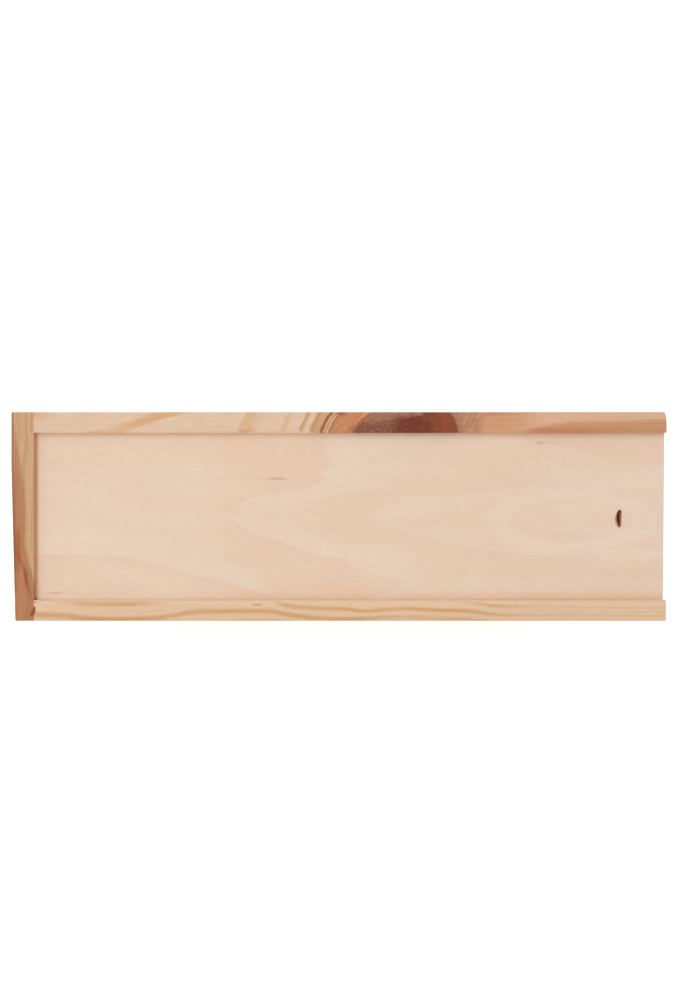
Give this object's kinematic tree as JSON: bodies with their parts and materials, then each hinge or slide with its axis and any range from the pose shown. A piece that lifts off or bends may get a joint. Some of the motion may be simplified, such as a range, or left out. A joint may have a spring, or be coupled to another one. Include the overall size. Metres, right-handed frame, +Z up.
{
  "type": "sliding lid box",
  "caption": "Long pine box, open at the top, with a plywood lid that slides in grooves and leaves over the low end board.",
  "frame": {"origin": "under the middle of the closed box, on the surface that it stands on", "axes": "+X along the box towards the open end, the way the lid slides out; +Y towards the far side; +Z up"},
  "size_m": [0.35, 0.1116, 0.1],
  "materials": {
    "pine": "planed, unvarnished",
    "plywood": "sanded, unvarnished",
    "nail_steel": "bright wire"
  },
  "bodies": {
    "box": {"far_side": "pine", "near_side": "pine", "closed_end": "pine", "open_end": "pine", "bottom_panel": "plywood", "closed_end_far_nails": "nail_steel", "closed_end_near_nails": "nail_steel", "open_end_far_nails": "nail_steel", "open_end_near_nails": "nail_steel"},
    "lid": {"sliding_lid": "plywood"}
  },
  "joints": [
    {"name": "lid_slide", "type": "slide", "parent": "box", "child": "lid", "axis": [1, 0, 0], "range_m": [0, 0.343]}
  ]
}
